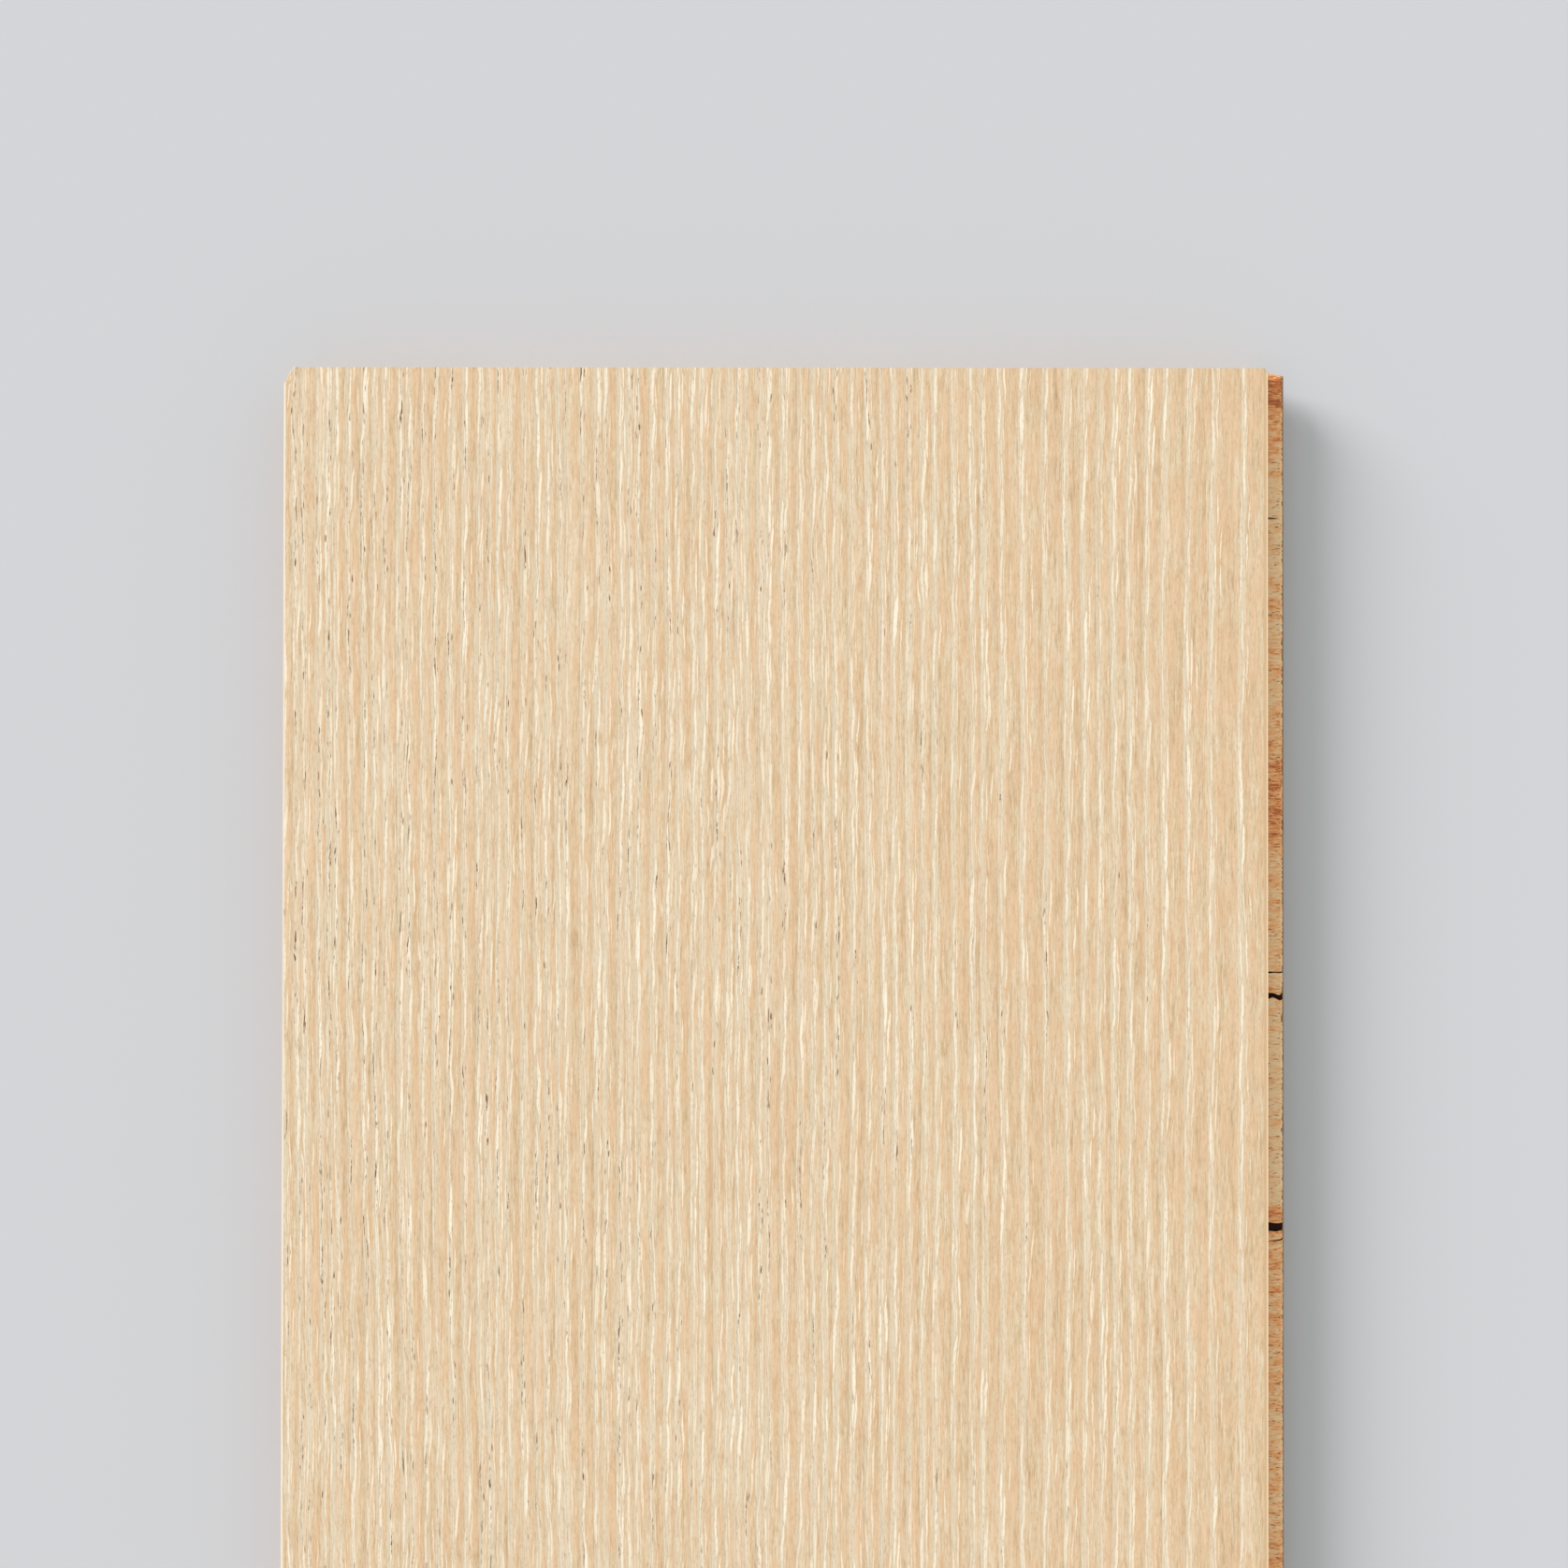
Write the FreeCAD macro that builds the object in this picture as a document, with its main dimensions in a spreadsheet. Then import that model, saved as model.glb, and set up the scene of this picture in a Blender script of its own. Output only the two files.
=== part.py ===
"""Wide plank engineered floorboard, lying flat with its finished face up.

A thick oak wear layer is glued to a core of eight crossed hardwood veneers. The
pressed panel is milled as one: a tongue along one long edge, a groove along the
other, and a fine bevel where the face meets each long edge. The veneer under the
wear layer runs across the board, has split in places, and shows on the tongue.

Frame: millimetres, +Z up through the face, +Y along the board, +X towards the
tongue. The origin is the middle of the underside of the whole box, tongue included.
"""

import FreeCAD, Part
import math
import os

import Sketcher

# Driving dimensions, in millimetres apart from the count.
DIMENSIONS = {
    "board_length": 2200.0,
    "face_width": 220.0,
    "wear_thickness": 4.0,
    "ply_thickness": 1.375,
    "ply_count": 8,
    "face_bevel": 0.5,
    # The tongue, and how much core is left between it and the wear layer.
    "lip_core": 0.5,
    "tongue_thickness": 4.6,
    "tongue_reach": 4.5,
    "tongue_chamfer": 0.7,
    "tongue_end_nip": 0.8,
    # The groove takes a neighbour's tongue with this room round it.
    "joint_play": 0.1,
    "groove_spare": 0.5,
    "mouth_chamfer": 0.6,
    # Below the joint both long edges stand back, so that the faces close first.
    "shoulder_relief": 0.4,
    # At the head end the groove side's corner is knocked off, from face to back.
    "knock_across": 2.1,
    "knock_along": 3.9,
    "knock_belly_across": 1.0,
    "knock_belly_along": 2.3,
    # At the tongue side only the wear layer's corner is nicked.
    "nick_across": 0.65,
    "nick_along": 1.2,
    "nick_belly_across": 0.4,
    "nick_belly_along": 0.3,
    # Splits in the veneer under the wear layer, placed from the head end.
    "split_run": 34.0,
    "hairline_width": 0.35,
    "near_hairline_place": 33.0,
    "near_hairline_stop": 1.5,
    "far_hairline_place": 135.4,
    "torn_split_place": 140.45,
    "torn_split_width": 1.1,
    "torn_split_wave": 0.3,
    "wide_gap_place": 192.4,
    "wide_gap_width": 2.0,
    "wide_gap_wave": 0.12,
    "wide_gap_lean": 0.4,
    "curved_hairline_place": 195.6,
    "curved_hairline_lean": -0.7,
}

CUT_MARGIN = 5.0

doc = FreeCAD.newDocument("floorboard")
sheet = doc.addObject("Spreadsheet::Sheet", "dimensions")


def fill_sheet():
    """One row for each driving dimension, with its name as the alias."""
    for row, (name, value) in enumerate(DIMENSIONS.items(), start=1):
        sheet.set(f"A{row}", name)
        sheet.set(f"B{row}", str(value))
        sheet.setAlias(f"B{row}", name)
    doc.recompute()


def size(name):
    """A driving dimension as a plain number."""
    return float(getattr(sheet, name))


def bound(expression):
    """The same expression with each dimension's name read from the sheet."""
    words = expression.split(" ")
    return " ".join(f"{sheet.Name}.{word}" if word in DIMENSIONS else word for word in words)


def new_sketch(body, name, plane_role):
    """A sketch on one of the body's own origin planes."""
    sketch = body.newObject("Sketcher::SketchObject", name)
    plane = next(f for f in body.Origin.OriginFeatures if f.Role == plane_role)
    sketch.AttachmentSupport = (plane, "")
    sketch.MapMode = "FlatFace"
    return sketch


def add_outline(sketch, corners):
    """A closed run of straight edges through the corners, flat or upright where they look so."""
    points = [FreeCAD.Vector(across, up, 0) for across, up in corners]
    following = points[1:] + points[:1]
    first = sketch.GeometryCount
    for start, end in zip(points, following):
        sketch.addGeometry(Part.LineSegment(start, end), False)
    last = first + len(points) - 1
    for edge in range(first, last + 1):
        after = first if edge == last else edge + 1
        sketch.addConstraint(Sketcher.Constraint("Coincident", edge, 2, after, 1))
        start, end = points[edge - first], following[edge - first]
        if abs(start.y - end.y) < 1e-9:
            sketch.addConstraint(Sketcher.Constraint("Horizontal", edge))
        elif abs(start.x - end.x) < 1e-9:
            sketch.addConstraint(Sketcher.Constraint("Vertical", edge))
    return first


def add_distance(sketch, name, direction, from_corner, to_corner, expression):
    """A named distance between two corners, bound to the sheet. A corner is an edge's start point."""
    ends = [(-1, 1) if corner == "origin" else (corner, 1) for corner in (from_corner, to_corner)]
    places = [sketch.getPoint(*end) for end in ends]
    span = places[1] - places[0]
    value = span.x if direction == "DistanceX" else span.y
    index = sketch.addConstraint(Sketcher.Constraint(direction, *ends[0], *ends[1], value))
    sketch.renameConstraint(index, name)
    sketch.setExpression(f"Constraints.{name}", bound(expression))


def draw_section(sketch):
    """The milled cross-section, looking along the board, with the tongue on the right."""
    left = -(size("face_width") + size("tongue_reach")) / 2
    face_edge = left + size("face_width")
    tip = face_edge + size("tongue_reach")
    relief = size("shoulder_relief")
    bevel = size("face_bevel")
    chamfer = size("tongue_chamfer")
    mouth = size("mouth_chamfer")
    top = size("wear_thickness") + size("ply_count") * size("ply_thickness")
    tongue_top = top - size("wear_thickness") - size("lip_core")
    tongue_bottom = tongue_top - size("tongue_thickness")
    groove_end = left + size("tongue_reach") + size("groove_spare")
    groove_top = tongue_top + size("joint_play")
    groove_bottom = tongue_bottom - size("joint_play")
    corners = {
        "foot_left": (left + relief, 0),
        "foot_right": (face_edge - relief, 0),
        "under_tongue": (face_edge - relief, tongue_bottom),
        "nose_under": (tip - chamfer, tongue_bottom),
        "nose_low": (tip, tongue_bottom + chamfer),
        "nose_high": (tip, tongue_top - chamfer),
        "nose_over": (tip - chamfer, tongue_top),
        "over_tongue": (face_edge, tongue_top),
        "bevel_right": (face_edge, top - bevel),
        "face_right": (face_edge - bevel, top),
        "face_left": (left + bevel, top),
        "bevel_left": (left, top - bevel),
        "upper_lip": (left, groove_top),
        "groove_high": (groove_end, groove_top),
        "groove_low": (groove_end, groove_bottom),
        "lower_lip": (left + relief + mouth, groove_bottom),
        "mouth": (left + relief, groove_bottom - mouth),
    }
    first = add_outline(sketch, corners.values())
    at = {name: first + number for number, name in enumerate(corners)}
    sketch.addConstraint(Sketcher.Constraint("PointOnObject", at["foot_left"], 1, -1))
    across = (
        ("half_box", "bevel_left", "origin", "( face_width + tongue_reach ) / 2"),
        ("face", "bevel_left", "bevel_right", "face_width"),
        ("reach", "over_tongue", "nose_high", "tongue_reach"),
        ("nose_high_run", "nose_over", "nose_high", "tongue_chamfer"),
        ("nose_low_run", "nose_under", "nose_low", "tongue_chamfer"),
        ("right_relief", "foot_right", "over_tongue", "shoulder_relief"),
        ("left_relief", "bevel_left", "foot_left", "shoulder_relief"),
        ("right_bevel_run", "face_right", "bevel_right", "face_bevel"),
        ("left_bevel_run", "bevel_left", "face_left", "face_bevel"),
        ("groove_depth", "upper_lip", "groove_high", "tongue_reach + groove_spare"),
        ("mouth_run", "mouth", "lower_lip", "mouth_chamfer"),
    )
    upright = (
        ("thickness", "foot_left", "face_left", "wear_thickness + ply_count * ply_thickness"),
        ("right_bevel_rise", "bevel_right", "face_right", "face_bevel"),
        ("left_bevel_rise", "bevel_left", "face_left", "face_bevel"),
        ("tongue_drop", "over_tongue", "face_right", "wear_thickness + lip_core"),
        ("tongue_height", "under_tongue", "over_tongue", "tongue_thickness"),
        ("nose_high_drop", "nose_high", "nose_over", "tongue_chamfer"),
        ("nose_low_rise", "nose_under", "nose_low", "tongue_chamfer"),
        ("play_over", "over_tongue", "groove_high", "joint_play"),
        ("play_under", "groove_low", "under_tongue", "joint_play"),
        ("mouth_drop", "mouth", "lower_lip", "mouth_chamfer"),
    )
    for name, start, end, expression in across:
        start, end = at[start], at.get(end, "origin")
        add_distance(sketch, name, "DistanceX", start, end, expression)
    for name, start, end, expression in upright:
        add_distance(sketch, name, "DistanceY", at[start], at[end], expression)


def draw_tongue_nips(sketch):
    """Two rectangles in plan that stop the tongue short of both ends of the board."""
    inner = (size("face_width") - size("tongue_reach")) / 2
    outer = inner + size("tongue_reach") + CUT_MARGIN
    end = size("board_length") / 2
    nip = size("tongue_end_nip")
    for side, name in ((1, "head"), (-1, "tail")):
        near, far = side * (end - nip), side * (end + CUT_MARGIN)
        first = add_outline(sketch, [(inner, near), (outer, near), (outer, far), (inner, far)])
        add_distance(
            sketch, f"{name}_inner", "DistanceX", "origin", first,
            "( face_width - tongue_reach ) / 2",
        )
        add_distance(
            sketch, f"{name}_reach", "DistanceX", first, first + 1,
            f"tongue_reach + {CUT_MARGIN}",
        )
        place = ("origin", first) if side > 0 else (first, "origin")
        add_distance(
            sketch, f"{name}_place", "DistanceY", *place, "board_length / 2 - tongue_end_nip"
        )
        depth = (first, first + 3) if side > 0 else (first + 3, first)
        add_distance(sketch, f"{name}_depth", "DistanceY", *depth, f"tongue_end_nip + {CUT_MARGIN}")


def draw_lost_corner(sketch, damage, side):
    """The bit missing from one head corner, in plan. The side is -1 at the groove, 1 at the tongue."""
    edge_shift = f"( face_width {'-' if side > 0 else '+'} tongue_reach ) / 2"
    edge = side * (size("face_width") - side * size("tongue_reach")) / 2
    end = size("board_length") / 2
    across, along = size(f"{damage}_across"), size(f"{damage}_along")
    belly_across, belly_along = size(f"{damage}_belly_across"), size(f"{damage}_belly_along")
    corners = [
        (edge + side * CUT_MARGIN, end + CUT_MARGIN),
        (edge + side * CUT_MARGIN, end - along),
        (edge, end - along),
        (edge - side * belly_across, end - along + belly_along),
        (edge - side * across, end),
        (edge - side * across, end + CUT_MARGIN),
    ]
    first = add_outline(sketch, corners)
    outer, low, edge_end, belly, head, top = range(first, first + len(corners))
    across_distances = (
        ("edge_place", "origin", edge_end, edge_shift),
        ("belly_across", belly, edge_end, f"{damage}_belly_across"),
        ("head_across", head, edge_end, f"{damage}_across"),
        ("past_edge", edge_end, low, f"{CUT_MARGIN}"),
    )
    along_distances = (
        ("edge_start", "origin", edge_end, f"board_length / 2 - {damage}_along"),
        ("belly_along", edge_end, belly, f"{damage}_belly_along"),
        ("head_along", edge_end, head, f"{damage}_along"),
        ("past_head", head, top, f"{CUT_MARGIN}"),
    )
    for name, inner_corner, outer_corner, expression in across_distances:
        pair = (inner_corner, outer_corner) if side > 0 else (outer_corner, inner_corner)
        add_distance(sketch, name, "DistanceX", *pair, expression)
    for name, start_corner, end_corner, expression in along_distances:
        add_distance(sketch, name, "DistanceY", start_corner, end_corner, expression)


def add_pocket(body, sketch, name):
    """Cuts the sketch up through the whole board, and checks that it takes something away."""
    before = body.Shape.Volume
    pocket = body.newObject("PartDesign::Pocket", name)
    pocket.Profile = sketch
    pocket.Type = "ThroughAll"
    pocket.Reversed = True
    doc.recompute()
    if not body.Shape.Volume < before - 1e-3:
        raise RuntimeError(f"{name} cuts nothing")
    return pocket


def make_milled_panel():
    """The outer shape of the pressed panel after milling, as one solid."""
    body = doc.addObject("PartDesign::Body", "milled_panel")
    section = new_sketch(body, "section", "XZ_Plane")
    draw_section(section)
    pad = body.newObject("PartDesign::Pad", "full_length")
    pad.Profile = section
    pad.SideType = "Symmetric"
    pad.setExpression("Length", bound("board_length"))
    doc.recompute()
    nips = new_sketch(body, "tongue_nips_outline", "XY_Plane")
    draw_tongue_nips(nips)
    doc.recompute()
    add_pocket(body, nips, "tongue_nips")
    return body


def lose_corner(whole, name, damage, side):
    """The shape without one head corner, which is cut off straight down."""
    body = doc.addObject("PartDesign::Body", f"{damage}_bit")
    outline = new_sketch(body, f"{damage}_outline", "XY_Plane")
    draw_lost_corner(outline, damage, side)
    pad = body.newObject("PartDesign::Pad", f"{damage}_depth")
    pad.Profile = outline
    pad.SideType = "Symmetric"
    thickness = "wear_thickness + ply_count * ply_thickness"
    pad.setExpression("Length", bound(f"2 * ( {thickness} + {CUT_MARGIN} )"))
    cut = doc.addObject("Part::Cut", name)
    cut.Base = whole
    cut.Tool = body
    doc.recompute()
    if not cut.Shape.Volume < whole.Shape.Volume - 1e-3:
        raise RuntimeError(f"{damage} takes nothing away")
    whole.Label = f"{name}_before_{damage}"
    cut.Label = name
    return cut


def make_sheet_layer(name, height, level):
    """A flat sheet as wide and long as the panel, before milling, at a height above the underside."""
    layer = doc.addObject("Part::Box", name)
    layer.setExpression("Length", bound(f"face_width + tongue_reach + 2 * {CUT_MARGIN}"))
    layer.setExpression("Width", bound(f"board_length + 2 * {CUT_MARGIN}"))
    layer.setExpression("Height", bound(height))
    middle = f"- ( face_width + tongue_reach ) / 2 - {CUT_MARGIN}"
    layer.setExpression("Placement.Base.x", bound(middle))
    layer.setExpression("Placement.Base.y", bound(f"- board_length / 2 - {CUT_MARGIN}"))
    layer.setExpression("Placement.Base.z", bound(level))
    return layer


def mill(panel, sheet_layer, name):
    """The part of one glued sheet that is left inside the milled panel."""
    milled = doc.addObject("Part::Common", name)
    milled.Base = panel
    milled.Tool = sheet_layer
    milled.Refine = True
    return milled


def torn_edge(start_x, run, place_y, lean, wave, phase):
    """One torn edge of a split: a smooth wavy line across the board, leaning a little."""
    point_count = 9
    waves_on_tongue = run / size("tongue_reach")
    points = []
    for number in range(point_count):
        share = number / (point_count - 1)
        sway = wave * math.sin(2 * math.pi * share * waves_on_tongue + phase)
        points.append(FreeCAD.Vector(start_x + share * run, place_y - lean * share + sway, 0))
    edge = Part.BSplineCurve()
    edge.interpolate(points)
    return edge.toShape()


def make_split(name, place, width, wave=0.0, lean=0.0, stop=0.0):
    """A split in the cross veneer, as the solid that is missing: wavy over the tongue, straight behind it."""
    face_edge = (size("face_width") - size("tongue_reach")) / 2
    reach = size("tongue_reach") - stop if stop else size("tongue_reach") + CUT_MARGIN
    middle = size("board_length") / 2 - place
    half = width / 2
    lower = torn_edge(face_edge, reach, middle - half, lean, wave, 1.2)
    upper = torn_edge(face_edge, reach, middle + half, lean, wave, 1.9)
    near = [edge.Vertexes[0].Point for edge in (lower, upper)]
    far = [edge.Vertexes[-1].Point for edge in (lower, upper)]
    inner = FreeCAD.Vector(face_edge - size("split_run"), middle, 0)
    sides = [
        Part.makeLine(inner, near[0]),
        lower,
        Part.makeLine(far[0], far[1]),
        upper,
        Part.makeLine(near[1], inner),
    ]
    outline = Part.Face(Part.Wire(Part.__sortEdges__(sides)))
    height = size("wear_thickness") + size("ply_count") * size("ply_thickness")
    split = doc.addObject("Part::Feature", name)
    split.Shape = outline.extrude(FreeCAD.Vector(0, 0, height))
    return split


def make_splits():
    """The three hairlines, the torn split and the wide gap that the tongue shows near the head end."""
    hairline = size("hairline_width")
    return [
        make_split(
            "near_hairline", size("near_hairline_place"), hairline,
            stop=size("near_hairline_stop"),
        ),
        make_split("far_hairline", size("far_hairline_place"), hairline),
        make_split(
            "curved_hairline", size("curved_hairline_place"), hairline,
            lean=size("curved_hairline_lean"),
        ),
        make_split(
            "torn_split", size("torn_split_place"), size("torn_split_width"),
            wave=size("torn_split_wave"),
        ),
        make_split(
            "wide_gap", size("wide_gap_place"), size("wide_gap_width"),
            wave=size("wide_gap_wave"), lean=size("wide_gap_lean"),
        ),
    ]


def make_core_plies(panel):
    """The crossed veneers, numbered from the wear layer down. Odd ones run across the board."""
    count = int(size("ply_count"))
    plies = []
    for number in range(1, count + 1):
        grain = "cross" if number % 2 else "long"
        label = f"core_ply_{number}_{grain}"
        level = f"( ply_count - {number} ) * ply_thickness"
        blank = make_sheet_layer(f"veneer_{number}", "ply_thickness", level)
        plies.append(mill(panel, blank, f"{label}_whole" if number == 1 else label))
        plies[-1].Label = label
    return plies


def split_top_ply(whole):
    """The first veneer with its splits taken out."""
    splits = doc.addObject("Part::MultiFuse", "splits")
    splits.Shapes = make_splits()
    torn = doc.addObject("Part::Cut", "core_ply_1_cross")
    torn.Base = whole
    torn.Tool = splits
    torn.Refine = True
    whole.Label = "core_ply_1_unsplit"
    torn.Label = "core_ply_1_cross"
    return torn


def check_document():
    """Stops if any feature failed to compute."""
    for item in doc.Objects:
        if "Invalid" in item.State or "Error" in item.State:
            raise RuntimeError(f"{item.Label} failed: {item.State}")


def write_parts(parts):
    """Each piece as its own file, named by its label, once it is known to be sound."""
    os.makedirs("parts", exist_ok=True)
    for part in parts:
        shape = part.Shape
        if shape.isNull() or not shape.isValid() or not shape.Solids:
            raise RuntimeError(f"{part.Label} isn't a valid solid")
        shape.exportStep(f"parts/{part.Label}.step")
        box = shape.BoundBox
        print(
            f"{part.Label}: {len(shape.Solids)} solid, {shape.Volume / 1000:.1f} cm3, "
            f"z {box.ZMin:.3f} to {box.ZMax:.3f}, x {box.XMin:.2f} to {box.XMax:.2f}"
        )


fill_sheet()
panel = lose_corner(make_milled_panel(), "knocked_panel", "knock", -1)
core_top = "ply_count * ply_thickness"
wear_blank = make_sheet_layer("oak_lamella", "wear_thickness", core_top)
lamella = mill(panel, wear_blank, "milled_lamella")
doc.recompute()
wear_layer = lose_corner(lamella, "oak_wear_layer", "nick", 1)
plies = make_core_plies(panel)
plies[0] = split_top_ply(plies[0])
doc.recompute()
check_document()
write_parts([wear_layer, *plies])
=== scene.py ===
"""Dresses the wide plank floorboard: limed, brushed oak on a core of crossed hardwood veneers.

The board lies face up on a pale floor, and the camera looks straight down on its head end.
"""

import math

import bmesh
import bpy
import numpy as np
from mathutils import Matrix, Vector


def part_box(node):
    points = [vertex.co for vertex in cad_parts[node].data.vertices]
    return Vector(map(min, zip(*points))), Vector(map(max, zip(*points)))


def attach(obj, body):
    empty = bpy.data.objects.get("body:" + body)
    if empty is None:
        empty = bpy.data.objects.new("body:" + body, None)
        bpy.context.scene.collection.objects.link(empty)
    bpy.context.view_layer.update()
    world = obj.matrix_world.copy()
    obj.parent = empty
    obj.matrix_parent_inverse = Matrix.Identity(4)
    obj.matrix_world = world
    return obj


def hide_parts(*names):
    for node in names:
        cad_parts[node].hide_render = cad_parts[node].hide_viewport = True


MM = 0.001
SEED = 41

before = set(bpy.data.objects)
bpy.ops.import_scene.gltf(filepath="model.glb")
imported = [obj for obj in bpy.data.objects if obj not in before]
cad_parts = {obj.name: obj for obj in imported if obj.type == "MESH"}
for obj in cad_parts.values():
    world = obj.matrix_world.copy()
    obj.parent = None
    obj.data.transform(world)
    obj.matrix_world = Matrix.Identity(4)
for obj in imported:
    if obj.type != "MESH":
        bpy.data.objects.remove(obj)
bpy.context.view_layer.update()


def corners_mm(node):
    """The lowest and the highest corner of a CAD node, in millimetres."""
    return [[round(value / MM, 3) for value in corner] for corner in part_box(node)]


# The board in millimetres, from the frame: X across, Y along, Z up.
oak_low, oak_high = corners_mm("oak_wear_layer")
ply_low, ply_high = corners_mm("core_ply_1_cross")
GROOVE_EDGE, FACE_EDGE, TONGUE_TIP = oak_low[0], oak_high[0], ply_high[0]
GLUE_LEVEL, FACE_LEVEL = oak_low[2], oak_high[2]
HALF_LENGTH = oak_high[1]
PLY = ply_high[2] - ply_low[2]

# The joint's section and the bevel, in millimetres.
BEVEL = 0.5
TONGUE_TOP = 10.5
TONGUE_CHAMFER = 0.7
TONGUE_NIP = 0.8
GROOVE_DEPTH = 5.0
GROOVE_TOP = 10.6

# Each lost head corner as points from the long edge and from the head: (across, along).
KNOCK = ((0.0, 3.9), (1.0, 1.6), (2.1, 0.0))
NICK = ((0.0, 1.2), (0.4, 0.9), (0.65, 0.0))


def linear(hex_colour):
    """An sRGB hex colour as the linear values that a shader takes."""
    channels = [int(hex_colour[start : start + 2], 16) / 255 for start in (1, 3, 5)]
    curve = [c / 12.92 if c <= 0.04045 else ((c + 0.055) / 1.055) ** 2.4 for c in channels]
    return (*curve, 1.0)


def add(tree, kind, inputs=(), stops=(), **settings):
    """Adds a node with its settings and a ramp's stops, and fills its inputs from values or nodes."""
    made = tree.nodes.new(kind)
    for name, value in settings.items():
        setattr(made, name, value)
    for number, (position, colour) in enumerate(stops):
        elements = made.color_ramp.elements
        element = elements[number] if number < len(elements) else elements.new(position)
        element.position = position
        element.color = linear(colour)
    for key, value in dict(inputs).items():
        source = value.outputs[0] if isinstance(value, bpy.types.Node) else value
        if isinstance(source, bpy.types.NodeSocket):
            tree.links.new(source, made.inputs[key])
        else:
            made.inputs[key].default_value = source
    return made


def new_material(name, roughness, specular):
    """A material with nothing but its shader, with the shader's tree."""
    material = bpy.data.materials.new(name)
    material.use_nodes = True
    tree = material.node_tree
    shader = tree.nodes["Principled BSDF"]
    shader.inputs["Roughness"].default_value = roughness
    shader.inputs["Specular IOR Level"].default_value = specular
    return material, tree, shader


def marks_of(size, larger=1.0):
    """The scale of noise whose marks have a size in millimetres across, along and up, or larger ones."""
    return [1 / (length * larger * MM) for length in size]


# The growth rings

# The oak's widest growth rings in millimetres, from the tongue side inwards. The rest are narrower.
WIDE_RINGS = (8.5, 6.6, 5.2, 5.3, 3.7, 3.9, 3.5, 3.1, 3.5, 3.9, 4.7, 5.1)

# The first of them starts this far past the face's edge. Rings go on past both edges, because
# they wander.
FIRST_RING = 3.6
RINGS_PAST_EDGE = 30.0

# The usual ring's width on the groove side, how far towards the tongue makes it one millimetre
# wider, and the share by which a ring may differ from the usual.
TIGHT_RING = 2.6
WIDENS_OVER = 60
RING_VARIES = 0.4

# The rings' course is a sum of waves, two long bends and two short ripples. Each has its reach to
# either side, the millimetres to a radian along the board and across it, and its start.
WAVES = ((2.4, 260, 90, 0.6), (0.6, 83, 40, 2.0), (0.2, 19, 13, 0.0), (0.09, 7.5, 5.2, 1.0))

# The rings meet the face at about 65 degrees, so they shift by this share of the depth.
RING_LEAN = 0.46


def lay_out_rings():
    """Where each growth ring starts across the board, in millimetres: wide by the tongue, then tight."""
    random = np.random.default_rng(SEED)
    starts = [FACE_EDGE + RINGS_PAST_EDGE, FACE_EDGE + FIRST_RING]
    for width in WIDE_RINGS:
        starts.append(starts[-1] - width)
    while starts[-1] > GROOVE_EDGE - RINGS_PAST_EDGE:
        usual = TIGHT_RING + max(0.0, starts[-1]) / WIDENS_OVER
        starts.append(starts[-1] - usual * (1 + RING_VARIES * random.uniform(-1, 1)))
    return np.array(starts[::-1])


RING_STARTS = lay_out_rings()


def wander(x, y):
    """How far sideways the rings have drifted at a place, in millimetres."""
    return sum(
        reach * np.sin(y / along + x / across + start) for reach, along, across, start in WAVES
    )


def ring_at(x, y, depth):
    """The growth ring at a place, as a count with a fraction, and the width of that ring."""
    unbent = x - wander(x, y) + RING_LEAN * depth
    ring = np.interp(unbent, RING_STARTS, np.arange(len(RING_STARTS)))
    number = np.clip(ring.astype(int), 0, len(RING_STARTS) - 2)
    return ring, np.diff(RING_STARTS)[number]


# What both dressed layers share


def lay_sheet(bm, x, y, z):
    """Adds a sheet with its vertices at places in millimetres, row by row, and numbers them in order."""
    rows, columns = x.shape
    bmesh.ops.create_grid(bm, x_segments=columns - 1, y_segments=rows - 1, size=1.0)
    order = sorted(bm.verts, key=lambda v: (round(v.co.y, 7), round(v.co.x, 7)))
    for number, vertex in enumerate(order):
        vertex.co = (x.flat[number] * MM, y.flat[number] * MM, z.flat[number] * MM)
    return list(enumerate(order))


def corner_line(points, along):
    """How far in from the long edge a lost corner reaches, at a distance from the head."""
    across, places = zip(*points[::-1])
    return np.interp(along, places, across, left=across[0], right=0.0)


def finish_piece(bm, name, materials, replaced):
    """Turns a bmesh into a piece of the board that stands for a CAD node."""
    bmesh.ops.recalc_face_normals(bm, faces=bm.faces[:])
    mesh = bpy.data.meshes.new(name)
    bm.to_mesh(mesh)
    bm.free()
    for material in materials:
        mesh.materials.append(material)
    piece = bpy.data.objects.new(name, mesh)
    bpy.context.scene.collection.objects.link(piece)
    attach(piece, "root")
    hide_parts(replaced)


# The oak layer, in millimetres

# The columns in each growth ring, as shares of its width, and how clear of the bevels they stay.
COLUMN_SHARES = (0.0, 0.16, 0.3, 0.5, 0.75)
COLUMN_MARGIN = 0.35

# The bevel's rounded arris: how far in from the edge it lies, and how far down it has come.
ARRIS_IN = 0.22 * BEVEL
ARRIS_DROP = 0.14 * BEVEL

# The rows: these, in millimetres from the head, where the corners are lost, and then even ones.
HEAD_ROWS = (0.0, 0.4, 0.8, 1.3, 1.7, 2.3, 3.0, 3.9, 6.0)
EVEN_ROWS = 199
EVEN_FROM_HEAD = 12

# Distances in from the long edges. The columns' bends fade out over the first, and a lost corner
# draws in the columns within its own.
BENDS_WITHIN = 16.0
KNOCK_WITHIN = 7.0
NICK_WITHIN = 5.0

# The furrow that the brush has left in each ring's early wood: depth, place and half its width.
FURROW_DEPTH = 0.09
FURROW_PLACE = 0.8
FURROW_SPREAD = 0.55

# A face is limed, or smooth, where its normal's height is more than this, up or down.
LIMED_FROM = 0.4
SMOOTH_FROM = 0.9


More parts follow.
